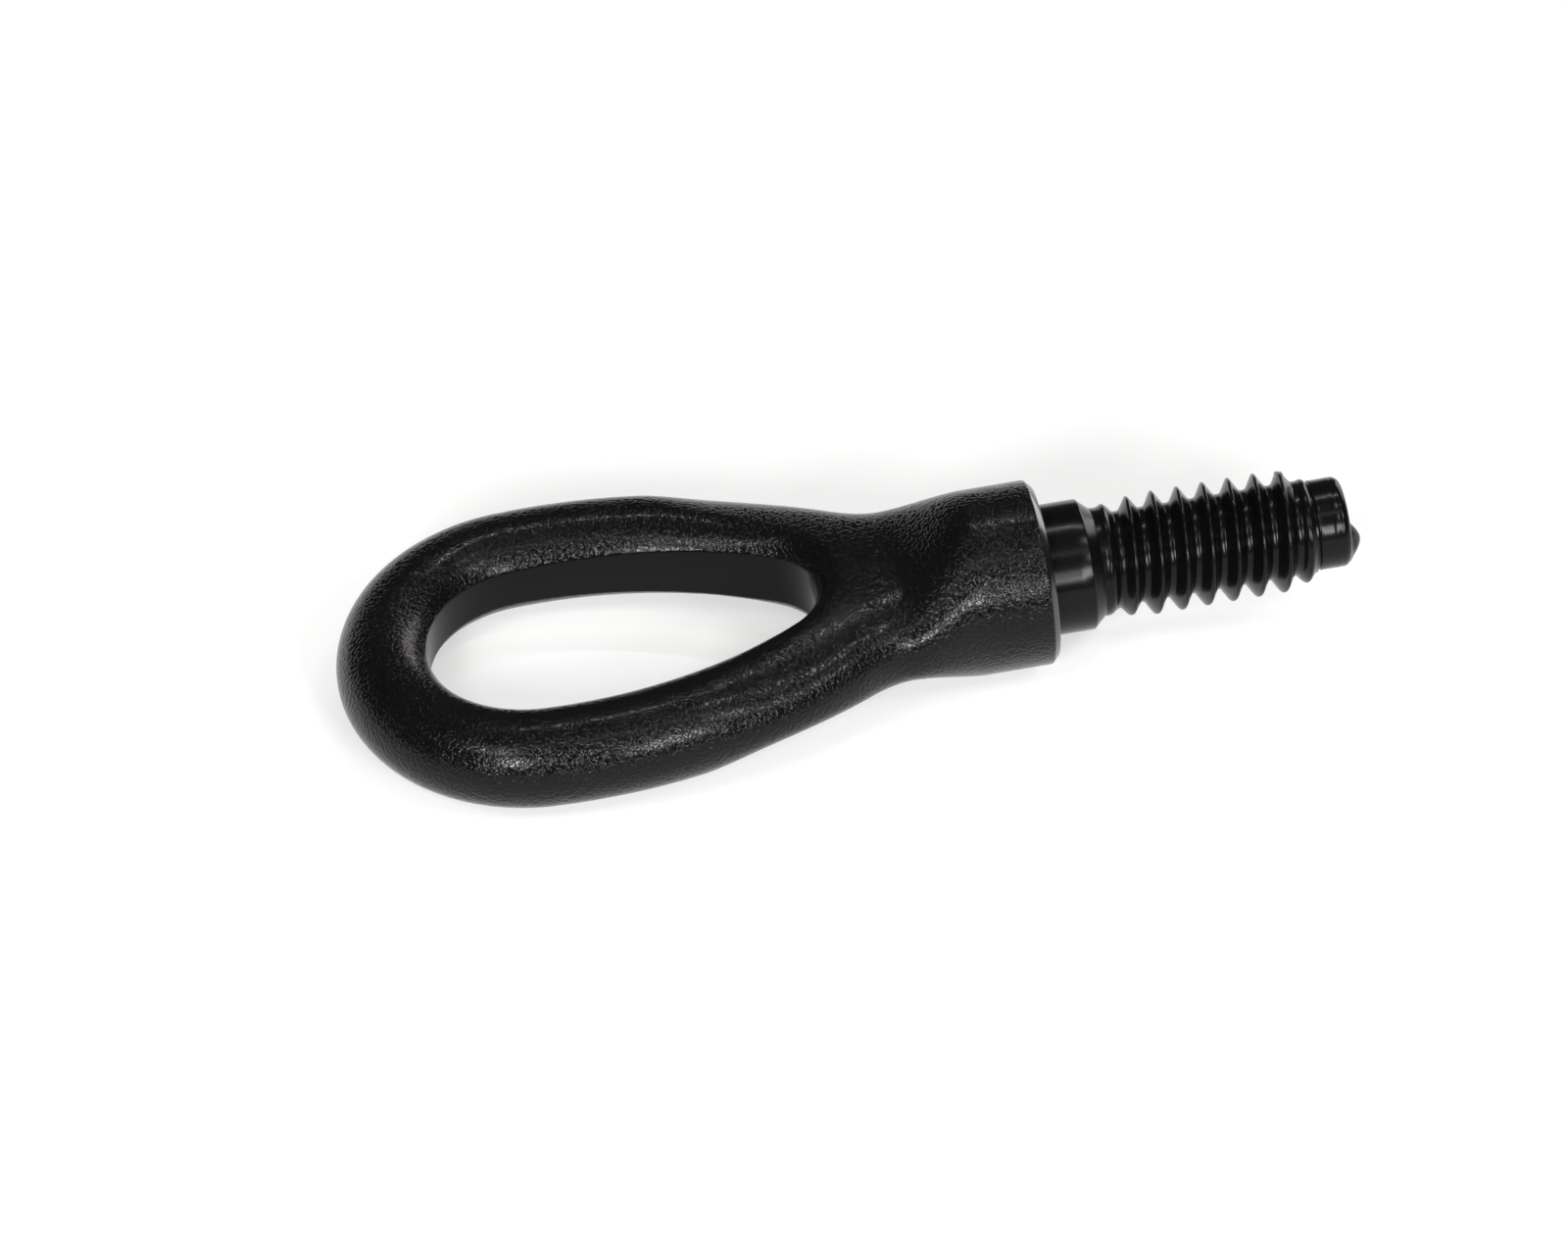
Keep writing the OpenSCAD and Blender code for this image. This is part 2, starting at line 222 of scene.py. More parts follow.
class HeadForm:
    """The forged head as functions of the place seen from above, in metres along the shank's axis."""

    def __init__(self, sizes):
        self.s = s = sizes
        self.half_w, self.half_h = s.bar_w / 2, s.bar_h / 2
        self.cut_angle = math.asin(s.wall_far_h / s.bar_h)
        self.bar_out = s.bar_w / (1 + math.cos(self.cut_angle))
        self.bar_in = s.bar_w - self.bar_out
        self.hole_far_r = s.far_arc_r - self.half_w
        # The circles of the far arc and the narrow end lie inside the flank's and touch it
        self.far = Vector((-s.far_arc_x, 0.0))
        self.crotch = Vector((-s.crotch_x, 0.0))
        span = s.far_arc_x - s.crotch_x
        far_gap, crotch_gap = s.flank_r - self.hole_far_r, s.flank_r - s.crotch_r
        dx = (far_gap**2 - crotch_gap**2 + span**2) / (2 * span)
        self.flank = Vector((self.far.x + dx, -math.sqrt(far_gap**2 - dx**2)))
        to_far, to_crotch = self.far - self.flank, self.crotch - self.flank
        self.far_dir = math.atan2(to_far.y, to_far.x)
        self.crotch_dir = math.atan2(to_crotch.y, to_crotch.x)
        self.neck_x = -(s.crotch_x - s.crotch_r - self.half_w)

    def ramp(self, x):
        """0 on the boss, 1 where it has run down to the neck."""
        return ease((-x - self.s.boss_l) / self.s.ramp_l)

    def side(self, x):
        """Half width of the outline seen from above."""
        s = self.s
        flank = self.flank.y + math.sqrt(max((s.flank_r + s.bar_w) ** 2 - (x - self.flank.x) ** 2, 0.0))
        return blend_max(flank, s.boss_r + s.neck_spread * self.ramp(x), s.neck_fillet)

    def top(self, x):
        """Half height along the middle."""
        s = self.s
        web = self.half_h + s.neck_rise * ease((x + s.crotch_x + s.crotch_r / 2) / (2 * s.crotch_r))
        return mix(s.boss_r, web, self.ramp(x))

    def wall_half(self, x):
        """Half height of the hole's punched wall."""
        s = self.s
        part = (x + s.far_arc_x) / (s.far_arc_x - s.crotch_x)
        return mix(s.wall_far_h, s.wall_crotch_h, min(max(part, 0.0), 1.0)) / 2

    def neckness(self, x):
        """0 on the eye, 1 on the neck."""
        return ease((x + self.s.crotch_x + self.s.bar_w) / (2 * self.s.bar_w))

    def sharpness(self, x):
        """0 where the hole's edge is as round as the bar, 1 at the tighter narrow end."""
        return ease((x + self.s.crotch_x + self.half_w) / (self.s.crotch_r + self.half_w))

    def squareness(self, x):
        """Power of the section's superellipse."""
        return 2.0 + (self.s.neck_square - 2.0) * self.neckness(x) * self.ramp(x)

    def neck_point(self, x, phi, inset=0.0):
        """Point of the neck's or the boss's section, phi from the top."""
        turn = math.sin(phi)
        rise = superellipse(abs(turn), self.squareness(x))
        return Vector((x, (self.side(x) - inset) * turn, (self.top(x) - inset) * rise))

    def hole_distance(self, q):
        """Distance from the hole's edge."""
        v, c, f = q - self.flank, self.crotch - self.flank, self.far - self.flank
        if v.x * c.y - v.y * c.x > 0:
            return (q - self.crotch).length - self.s.crotch_r
        if v.x * f.y - v.y * f.x < 0:
            return (q - self.far).length - self.hole_far_r
        return v.length - self.s.flank_r

    def side_distance(self, q):
        """Distance from the outer side."""
        s = self.s
        if q.x < self.far.x:
            return self.hole_far_r + s.bar_w - (q - self.far).length
        if q.x < self.flank.x:
            return s.flank_r + s.bar_w - (q - self.flank).length
        slope = (self.side(q.x + 0.5 * MM) - self.side(q.x - 0.5 * MM)) / MM
        slope *= 1.0 - self.neckness(q.x)
        return (self.side(q.x) - q.y) / math.sqrt(1.0 + slope * slope)

    def height(self, q):
        """Height of the skin over the middle plane."""
        edge_in = mix(self.bar_in, self.s.crotch_edge_r, self.sharpness(q.x))
        edge_out = mix(self.bar_out, self.side(q.x), self.neckness(q.x))
        left = superellipse(self.wall_half(q.x) / self.top(q.x), 2.0)
        return (
            self.top(q.x)
            * superellipse(left * (1.0 - self.hole_distance(q) / edge_in), 2.0)
            * superellipse(1.0 - self.side_distance(q) / edge_out, self.squareness(q.x))
        )


def direction(angle):
    return Vector((math.cos(angle), math.sin(angle)))


# Share of the flank that has lines square to it; on the rest they turn towards the neck
SQUARE_SHARE = 0.86


def section_lines(form, far_n, flank_n, slide_n, rim_n):
    """Lines across the bar for the half at +Y: hole's edge, outer end, and the neck angle of that end."""
    s = form.s
    flank_stop = mix(form.far_dir, form.crotch_dir, SQUARE_SHARE)
    rest_flank = s.flank_r * (flank_stop - form.crotch_dir)
    rest_crotch = s.crotch_r * form.crotch_dir

    def hole_edge(part):
        run = part * (rest_flank + rest_crotch)
        if run < rest_flank:
            return form.flank + s.flank_r * direction(flank_stop - run / s.flank_r)
        return form.crotch + s.crotch_r * direction(form.crotch_dir - (run - rest_flank) / s.crotch_r)

    quarter = math.pi / 2
    lines = []
    for i in range(far_n + 1):
        u = direction(mix(math.pi, form.far_dir, i / far_n))
        lines.append((form.far + form.hole_far_r * u, form.far + (form.hole_far_r + s.bar_w) * u, quarter))
    for i in range(1, flank_n + 1):
        u = direction(mix(form.far_dir, flank_stop, i / flank_n))
        r = s.flank_r + s.bar_w
        # Each round brings the end closer to the outer side
        for _ in range(12):
            r += (form.side(form.flank.x + r * u.x) - form.flank.y - r * u.y) / u.y
        lines.append((form.flank + s.flank_r * u, form.flank + r * u, quarter))
    last_x = lines[-1][1].x
    for i in range(1, slide_n + 1):
        x = mix(last_x, form.neck_x, i / slide_n)
        lines.append((hole_edge(i / (slide_n + rim_n)), Vector((x, form.side(x))), quarter))
    for i in range(1, rim_n + 1):
        phi = quarter * (1 - i / rim_n)
        p = form.neck_point(form.neck_x, phi)
        lines.append((hole_edge((slide_n + i) / (slide_n + rim_n)), p.xy, phi))
    return lines


def places(run, phi, form, in_n, mid_n, out_n):
    """Distances from the hole's edge: crowded at a round outer end, even where a line ends on the neck."""
    # The steps follow the round of the bar up to the full angle
    full, cut = math.radians(65.0), form.cut_angle
    wall_edge = 0.05 * MM

    def out_step(i):
        return form.bar_out * (1 - math.cos(full * i / out_n))

    out = [wall_edge] + [
        form.bar_in * (1 - math.cos(mix(cut, full, i / in_n)) / math.cos(cut)) for i in range(1, in_n + 1)
    ]
    first, last, even_n = out[-1], run - out_step(out_n), mid_n + out_n
    crowded = [mix(first, last, i / mid_n) for i in range(1, mid_n + 1)]
    crowded += [run - out_step(out_n - i) for i in range(1, out_n + 1)]
    for i in range(1, even_n + 1):
        out.append(mix(mix(first, run, i / even_n), crowded[i - 1], ease(phi / (math.pi / 2))))
    return out


def neck_rings(form, rim_n, neck_n):
    """Rings of the neck and the boss: place along the shank and inset, up to the softened rim chamfer."""
    chamfer = form.s.boss_chamfer
    stations = [(mix(form.neck_x, -chamfer - 0.12 * MM, i / neck_n), 0.0) for i in range(neck_n + 1)]
    stations.append((-chamfer + 0.04 * MM, 0.07 * MM))
    stations.append((-0.1 * MM, chamfer - 0.04 * MM))
    stations.append((0.0, chamfer + 0.08 * MM))
    rings = []
    for x, inset in stations:
        half = [form.neck_point(x, math.pi / 2 * (1 - i / rim_n), inset) for i in range(2 * rim_n + 1)]
        rings.append(half + [Vector((p.x, p.y, -p.z)) for p in reversed(half[1:-1])])
    return rings


def forged_skin(form):
    """Vertices and faces of the head, and the finish of the faces that were punched or turned."""
    in_n, mid_n, out_n, rim_n, neck_n = 12, 9, 12, 44, 44
    far_n, flank_n, slide_n = 66, 56, 22
    section_n = in_n + mid_n + out_n
    # Drops of the punched wall's two rows below its edge
    wall = (0.3 * MM, 0.1 * MM)
    loops = []
    for near, out, phi in section_lines(form, far_n, flank_n, slide_n, rim_n):
        along = out - near
        upper = [Vector((near.x, near.y, form.wall_half(near.x) - drop)) for drop in wall]
        for k, d in enumerate(places(along.length, phi, form, in_n, mid_n, out_n)):
            q = near + along * (d / along.length)
            if k < section_n:
                upper.append(Vector((q.x, q.y, form.height(q))))
            elif phi < math.pi / 2:
                upper.append(form.neck_point(form.neck_x, phi))
            else:
                upper.append(Vector((out.x, out.y, 0.0)))
        loops.append(upper + [Vector((p.x, p.y, -p.z)) for p in reversed(upper)])
    flip = Vector((1, -1, 1))
    loops += [[p * flip for p in loop] for loop in reversed(loops[1:-1])]
    verts = [p for loop in loops for p in loop]
    size = len(loops[0])
    faces, finish = [], {}
    for j in range(len(loops)):
        a, b = j * size, ((j + 1) % len(loops)) * size
        for k in range(size):
            # The outer end and its mirror image meet, or the neck's rings go on from them
            if k != size // 2 - 1:
                if min(k, size - 2 - k) < len(wall):
                    finish[len(faces)] = TURNED
                after = (k + 1) % size
                faces.append((a + k, a + after, b + after, b + k))
    base = len(verts)
    rings = neck_rings(form, rim_n, neck_n)
    ring = len(rings[0])
    verts += [p for points in rings for p in points]
    for i in range(len(rings) - 1):
        for k in range(ring):
            a, b = base + i * ring + k, base + i * ring + (k + 1) % ring
            faces.append((a, a + ring, b + ring, b))
            if i >= len(rings) - 3:
                finish[len(faces) - 1] = EDGE
    finish[len(faces)] = TURNED
    faces.append(tuple(range(len(verts) - 1, len(verts) - 1 - ring, -1)))
    return verts, faces, finish


# The skin's long and short swells: waves per metre and share
SWELLS = ((95.0, 0.65), (260.0, 0.35))


def wander(bm, form):
    """Lets the forged skin wander a little from the drawn form, but not where it is worked or lies."""
    s = form.s
    rim_gap, rim_fade, rest_fade = 2.5 * MM, 4 * MM, 3 * MM
    bm.normal_update()
    for v in bm.verts:
        p = v.co
        free = ease((-p.x - s.boss_chamfer - rim_gap) / rim_fade) * ease((p.z + form.half_h) / rest_fade)
        if any(f.material_index for f in v.link_faces):
            free = 0.0
        swell = sum(noise.noise(p * waves) * part for waves, part in SWELLS)
        v.co = p + v.normal * (swell * s.waviness * free)


# One turn's section: place along the axis in pitches, and height from the root at 0 to the crest at 1
THREAD_FORM = [
    (-0.5, 0.0), (-0.45, 0.004), (-0.41, 0.018), (-0.38, 0.045), (-0.35, 0.1), (-0.3, 0.245), (-0.25, 0.39),
    (-0.2, 0.545), (-0.15, 0.7), (-0.1, 0.85), (-0.065, 0.945), (-0.045, 0.985), (-0.02, 1.0), (0.02, 1.0),
    (0.045, 0.985), (0.065, 0.945), (0.1, 0.85), (0.15, 0.7), (0.2, 0.545), (0.25, 0.39), (0.3, 0.245),
    (0.35, 0.1), (0.38, 0.045), (0.41, 0.018), (0.45, 0.004),
]
# Degrees about the axis from which the turns are counted
CREST_DIRECTION = -98.0
# The dent in a late crest: direction and spread in degrees, distance from the thread's end, the height
# from which it shows, and how far it widens and sinks the crest
KNOCK = {"angle": 48.0, "spread": 30.0, "from_end": 4.3 * MM, "above": 0.6, "widen": 0.08, "sink": 0.1}


class ThreadForm:
    """Radii of the rolled thread along the shank."""

    def __init__(self, sizes):
        self.s = sizes
        self.start = sizes.collar_l + sizes.cone_l
        self.end = self.start + sizes.thread_l

    def rise(self, x, run):
        """0 at the thread's start, 1 after the run."""
        return min(max((x - self.start) / run, 0.0), 1.0)

    def fade(self, x):
        """1 along the thread, 0 at its end."""
        return 1.0 - min(max((x - self.end + self.s.run_out) / self.s.run_out, 0.0), 1.0) ** 2

    def root(self, x):
        return mix(self.s.blank_r, self.s.root_r, ease(self.rise(x, self.s.run_in / 2)))

    def crest(self, x):
        risen = mix(self.s.blank_r, self.s.crest_r, self.rise(x, self.s.run_in))
        return mix(self.root(x), risen, self.fade(x))

    def knock(self, x, angle):
        """How much of the dent a crest has in one direction."""
        turn = abs((angle - KNOCK["angle"] + 540.0) % 360.0 - 180.0) / KNOCK["spread"]
        near = abs(x - self.end + KNOCK["from_end"]) < self.s.pitch / 2
        return max(1.0 - turn * turn, 0.0) if near else 0.0


def collar_rows(s, thread):
    """Outline from inside the boss over the collar and its cone: place and radius."""
    soft = 0.12 * MM
    chamfer_end = s.collar_l + s.collar_chamfer
    cone_r = s.collar_r - s.collar_chamfer
    return [
        (-2.0 * MM, s.collar_r),
        (0.0, s.collar_r),
        (0.3 * s.collar_l, s.collar_r),
        (0.7 * s.collar_l, s.collar_r),
        (s.collar_l - soft, s.collar_r),
        (s.collar_l, s.collar_r - 0.3 * soft),
        (s.collar_l + soft, s.collar_r - soft),
        (chamfer_end - soft, s.collar_r - s.collar_chamfer + soft),
        (chamfer_end, cone_r),
        (mix(chamfer_end, thread.start, 0.5), mix(cone_r, s.blank_r, 0.5)),
    ]


# Fine marks of the tool on the pilot, in millimetres
RIDGES = {"count": 9, "start": 0.3, "step": 0.25, "depth": 0.05}
GROOVE = {"start": 0.4, "floor": 0.22, "depth": 0.05}


def pilot_rows(s, thread, tip):
    """Outline of the ring, the pilot with its fine marks, its edge and the end face: place and radius."""
    soft = 0.06 * MM
    ring_r = s.pilot_r - s.ring_depth
    ring_end = thread.end + s.ring_w + s.ring_depth
    edge_start = tip - s.tip_r
    rows = [
        (thread.end + 0.05 * MM, ring_r),
        (thread.end + s.ring_w, ring_r),
        (ring_end - soft, s.pilot_r - soft),
        (ring_end + soft, s.pilot_r),
    ]
    for i in range(RIDGES["count"]):
        drop = RIDGES["depth"] * MM if i % 2 else 0.0
        rows.append((ring_end + (RIDGES["start"] + RIDGES["step"] * i) * MM, s.pilot_r - drop))
    rows.append((edge_start - GROOVE["start"] * MM, s.pilot_r))
    rows.append((edge_start - GROOVE["floor"] * MM, s.pilot_r - GROOVE["depth"] * MM))
    for degrees in range(0, 91, 9):
        a = math.radians(degrees)
        rows.append((tip - s.tip_r * (1 - math.sin(a)), s.pilot_r - s.tip_r * (1 - math.cos(a))))
    return rows + [(tip, (s.pilot_r - s.tip_r) * part) for part in (0.8, 0.6, 0.4, 0.2)]


def shank_surface(s):
    """Vertices and faces of the shank, from inside the boss to the end face."""
    turn_n = 120
    thread = ThreadForm(s)
    tip = thread.end + s.pilot_l
    verts, rows = [], []

    def new_row():
        rows.append([len(verts) + j for j in range(turn_n + 1)])

    def add_point(x, r, angle):
        a = math.radians(angle)
        verts.append(Vector((x, r * math.cos(a), r * math.sin(a))))

    def add_ring(x, r):
        new_row()
        for j in range(turn_n):
            add_point(x, r, CREST_DIRECTION - 360.0 * j / turn_n)
        verts.append(verts[-turn_n].copy())

    for x, r in collar_rows(s, thread):
        add_ring(x, r)
    profile_n = len(THREAD_FORM)
    first = math.floor(thread.start / s.pitch) - 2
    for strip in range(profile_n * (math.ceil(s.thread_l / s.pitch) + 4) + 1):
        offset, lift = THREAD_FORM[strip % profile_n]
        new_row()
        for j in range(turn_n + 1):
            angle = CREST_DIRECTION - 360.0 * j / turn_n
            centre = (first + strip // profile_n + j / turn_n) * s.pitch
            hit = thread.knock(centre, angle) * ease((lift - KNOCK["above"]) / (1.0 - KNOCK["above"]))
            free_x = centre + (offset + math.copysign(KNOCK["widen"], offset) * hit) * s.pitch
            x = min(max(free_x, thread.start), thread.end)
            add_point(x, mix(thread.root(x), thread.crest(x), lift - KNOCK["sink"] * hit), angle)
    for x, r in pilot_rows(s, thread, tip):
        add_ring(x, r)
    faces = [
        (rows[i][j], rows[i][j + 1], rows[i + 1][j + 1], rows[i + 1][j])
        for i in range(len(rows) - 1)
        for j in range(turn_n)
    ]
    faces.append(tuple(rows[0][j] for j in reversed(range(turn_n))))
    faces.append(tuple(rows[-1][j] for j in range(turn_n)))
    return verts, faces, tip


# How much wider the nub's foot is, and how uneven its outline: a share, with waves per metre
NUB_FOOT = 1.1 * MM
NUB_UNEVEN, NUB_WAVES = 0.06, 700.0


def nub_surface(s, tip):
    """Vertices and faces of the nub: a wide low cone, sunk a little into the end face."""
    turn_n, rows_n = 40, 12
    sunk, rounding = 0.6 * MM, 1.15
    centre = Vector((tip, -s.nub_offset * math.sin(s.nub_angle), -s.nub_offset * math.cos(s.nub_angle)))
    foot = s.nub_r + NUB_FOOT
    profile = [(-sunk, foot + 0.3 * MM), (0.0, foot + 0.15 * MM), (0.05 * MM, foot)]
    for i in range(1, rows_n):
        part = i / rows_n
        rise = math.sin(math.pi / 2 * part) ** rounding
        profile.append((mix(0.1 * MM, s.nub_h, rise), foot * (1 - part)))
    verts, faces = [], []
    for x, r in profile:
        for j in range(turn_n):
            a = 2 * math.pi * j / turn_n
            p = Vector((x, r * math.cos(a), r * math.sin(a)))
            p.yz *= 1.0 + NUB_UNEVEN * noise.noise(p * NUB_WAVES)
            verts.append(centre + p)
    for i in range(len(profile) - 1):
        for j in range(turn_n):
            a, b = i * turn_n + j, i * turn_n + (j + 1) % turn_n
            faces.append((a, b, b + turn_n, a + turn_n))
    peak = len(verts)
    verts.append(centre + Vector((s.nub_h, 0.0, 0.0)))
    top = (len(profile) - 1) * turn_n
    faces += [(top + j, top + (j + 1) % turn_n, peak) for j in range(turn_n)]
    faces.append(tuple(reversed(range(turn_n))))
    return verts, faces


def laid_down():
    """Turn from the shank's own axis to the way the piece lies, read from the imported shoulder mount."""
    axis = next(m["axis"] for m in frame["record"]["mounts"] if m["name"] == "shoulder")
    return Matrix.Rotation(-math.atan2(axis[2], axis[0]), 4, "Y")


def add_mesh(name, verts, faces, materials, finish=None, change=None):
    """One piece on the root body in place of the node; finish gives some faces a later material slot."""
    mesh = bpy.data.meshes.new(name)
    mesh.from_pydata([tuple(v) for v in verts], [], [tuple(f) for f in faces])
    for m in materials:
        mesh.materials.append(m)
    for i, slot in (finish or {}).items():
        mesh.polygons[i].material_index = slot
    bm = bmesh.new()
    bm.from_mesh(mesh)
    bmesh.ops.remove_doubles(bm, verts=bm.verts, dist=WELD)
    bmesh.ops.dissolve_degenerate(bm, edges=bm.edges, dist=WELD / 2)
    bmesh.ops.recalc_face_normals(bm, faces=bm.faces)
    if change:
        change(bm)
    bmesh.ops.transform(bm, matrix=laid_down(), verts=bm.verts)
    bm.to_mesh(mesh)
    bm.free()
    mesh.shade_smooth()
    mesh.set_sharp_from_angle(angle=SHARP_CORNER)
    piece = bpy.data.objects.new(name, mesh)
    bpy.context.collection.objects.link(piece)
    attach(piece, "root")
    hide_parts(NODE)


# Turn of the noise's axes against the object's, in radians
SLANT = (0.6, 0.35, 0.5)


class Nodes:
    """Short calls for laying out one node tree."""

    def __init__(self, tree):
        self.tree = tree

    def add(self, kind, inputs=None, **settings):
        node = self.tree.nodes.new(kind)
        for key, value in settings.items():
            setattr(node, key, value)
        for key, value in (inputs or {}).items():
            self.put(node.inputs[key], value)
        return node

    def put(self, socket, value):
        if isinstance(value, bpy.types.NodeSocket):
            self.tree.links.new(value, socket)
        else:
            socket.default_value = value

    def math(self, operation, *values, clamp=False):
        node = self.add("ShaderNodeMath", operation=operation, use_clamp=clamp)
        for i, value in enumerate(values):
            self.put(node.inputs[i], value)
        return node.outputs[0]

    def weighted(self, first, *others):
        """Sum of values, each times its weight."""
        total = self.math("MULTIPLY", *first)
        for pair in others:
            total = self.math("ADD", total, self.math("MULTIPLY", *pair))
        return total

    def slanted_place(self):
        """Place on the object, turned off the axes so that noise shows no straight streaks."""
        place = self.add("ShaderNodeTexCoord").outputs["Object"]
        slanted = self.add("ShaderNodeMapping", {"Vector": place, "Rotation": SLANT})
        return slanted.outputs["Vector"]

    def noise(self, vector, scale, detail, roughness=0.5, distortion=0.0):
        inputs = {
            "Vector": vector,
            "Scale": scale,
            "Detail": detail,
            "Roughness": roughness,
            "Distortion": distortion,
        }
        return self.add("ShaderNodeTexNoise", inputs).outputs["Fac"]

    def span(self, value, low, high, out_low=0.0, out_high=1.0):
        """Maps the stretch from low to high softly onto the stretch that comes out."""
        inputs = {"Value": value, "From Min": low, "From Max": high, "To Min": out_low, "To Max": out_high}
        return self.add("ShaderNodeMapRange", inputs, interpolation_type="SMOOTHSTEP").outputs["Result"]

    def blend(self, factor, a, b):
        """Mixes two colours, each a socket or three numbers."""
        node = self.add("ShaderNodeMix", data_type="RGBA")
        self.put(node.inputs[0], factor)
        for socket, value in ((node.inputs[6], a), (node.inputs[7], b)):
            self.put(socket, value if isinstance(value, bpy.types.NodeSocket) else (*value, 1.0))
        return node.outputs[2]


def coat_film_group():
    """Thin spots and dust in the black coat: a colour and a small change of roughness."""
    group = bpy.data.node_groups.new("Coat film", "ShaderNodeTree")
    for label, way, kind in (
        ("Coat", "INPUT", "Color"),
        ("Thin", "INPUT", "Color"),
        ("Roughness", "INPUT", "Float"),
        ("Spread", "INPUT", "Float"),
        ("Color", "OUTPUT", "Color"),
        ("Roughness", "OUTPUT", "Float"),
    ):
        group.interface.new_socket(name=label, in_out=way, socket_type="NodeSocket" + kind)
    n = Nodes(group)
    start, end = n.add("NodeGroupInput").outputs, n.add("NodeGroupOutput").inputs
    place = n.slanted_place()
    cloud = n.noise(place, scale=140.0, detail=4.0, roughness=0.6)
    speck = n.noise(place, scale=2600.0, detail=1.0)
    thin = n.math("MULTIPLY", n.span(cloud, 0.35, 0.7), n.span(speck, 0.4, 0.75), clamp=True)
    n.put(end["Color"], n.blend(thin, start["Coat"], start["Thin"]))
    swing = n.math("MULTIPLY", n.math("SUBTRACT", cloud, 0.5), start["Spread"])
    n.put(end["Roughness"], n.math("ADD", start["Roughness"], swing, clamp=True))
    return group


def new_material(name, specular):
    material = bpy.data.materials.new(name)
    material.use_nodes = True
    shader = material.node_tree.nodes["Principled BSDF"].inputs
    shader["Specular IOR Level"].default_value = specular
    return material, Nodes(material.node_tree), shader


def lay_coat(n, shader, film, inputs, height, strength, depth):
    """Puts the coat's film and the relief of its height on the shader."""
    coat = n.add("ShaderNodeGroup", inputs, node_tree=film)
    bump = n.add("ShaderNodeBump", {"Strength": strength, "Distance": depth, "Height": height})
    n.put(shader["Base Color"], coat.outputs["Color"])
    n.put(shader["Roughness"], coat.outputs["Roughness"])
    n.put(shader["Normal"], bump.outputs["Normal"])


def forged_coat(look, film):
    """Semi-gloss black coat over the pebbled forged skin."""
    material, n, shader = new_material("forged_coat", look.forged_shine)
    inputs = {
        "Coat": (*look.forged, 1.0),
        "Thin": (*look.forged_thin, 1.0),
        "Roughness": look.forged_gloss,
        "Spread": 0.16,
    }
    place = n.slanted_place()
    scale = 1.0 / look.pebble
    pebbles = n.span(n.noise(place, scale=scale, detail=2.0, distortion=0.3), 0.38, 0.62)
    lumps = n.noise(place, scale=scale * 0.35, detail=1.0)
    grit = n.noise(place, scale=scale * 2.6, detail=1.0)
    height = n.weighted((pebbles, 0.9), (lumps, 0.4), (grit, 0.2))
    lay_coat(n, shader, film, inputs, height, strength=1.0, depth=look.pebble_depth)
    return material


def turned_coat(name, specular, look, film):
    """Smooth glossy black coat over turned and rolled faces, with faint rings from the tool."""
    material, n, shader = new_material(name, specular)
    inputs = {
        "Coat": (*look.turned, 1.0),
        "Thin": (*(part * 1.8 for part in look.turned), 1.0),
        "Roughness": look.turned_gloss,
        "Spread": 0.1,
    }
    place = n.add("ShaderNodeTexCoord").outputs["Object"]
    axis = tuple(laid_down() @ Vector((1, 0, 0)))
    along = n.add("ShaderNodeVectorMath", {0: place, 1: axis}, operation="DOT_PRODUCT").outputs["Value"]
    rings = n.add("ShaderNodeTexNoise", {"W": along, "Scale": 5200.0, "Detail": 2.0}, noise_dimensions="1D")
    mottle = n.noise(n.slanted_place(), scale=900.0, detail=2.0)
    height = n.weighted((rings.outputs["Fac"], 0.5), (mottle, 0.9))
    lay_coat(n, shader, film, inputs, height, strength=0.5, depth=look.tool_depth)
    return material


class Coats:
    """The coats in the order of the material slots, made once; the rim of the shoulder has the shiniest."""

    made = {}

    @classmethod
    def get(cls, look):
        if not cls.made:
            film = coat_film_group()
            cls.made = {
                "forged": forged_coat(look, film),
                "turned": turned_coat("turned_coat", look.turned_shine, look, film),
                "edge": turned_coat("edge_coat", look.edge_shine, look, film),
            }
        return cls.made


class TOWEYE_OT_head(bpy.types.Operator):
    """Build the forged head: eye, neck and boss with its machined shoulder"""

    bl_idname = "toweye.head"
    bl_label = "Forged Head"

    def execute(self, context):
        scene = context.scene
        coats = Coats.get(scene.toweye_coat)
        form = HeadForm(scene.toweye_head)
        verts, faces, finish = forged_skin(form)
        add_mesh("forged_head", verts, faces, list(coats.values()), finish, lambda bm: wander(bm, form))
        return {"FINISHED"}


class TOWEYE_OT_shank(bpy.types.Operator):
    """Build the turned shank: collar, cone, left-hand rolled thread, ring, pilot and nub"""

    bl_idname = "toweye.shank"
    bl_label = "Turned Shank"

    def execute(self, context):
        scene = context.scene
        coats = Coats.get(scene.toweye_coat)
        sizes = scene.toweye_shank
        verts, faces, tip = shank_surface(sizes)
        nub_verts, nub_faces = nub_surface(sizes, tip)
        faces += [tuple(i + len(verts) for i in f) for f in nub_faces]
        add_mesh("turned_shank", verts + nub_verts, faces, [coats["turned"]])
        return {"FINISHED"}


WHITE = (1.0, 1.0, 1.0)
LAMP_AIM = Vector((-0.03, 0.0, 0.0))

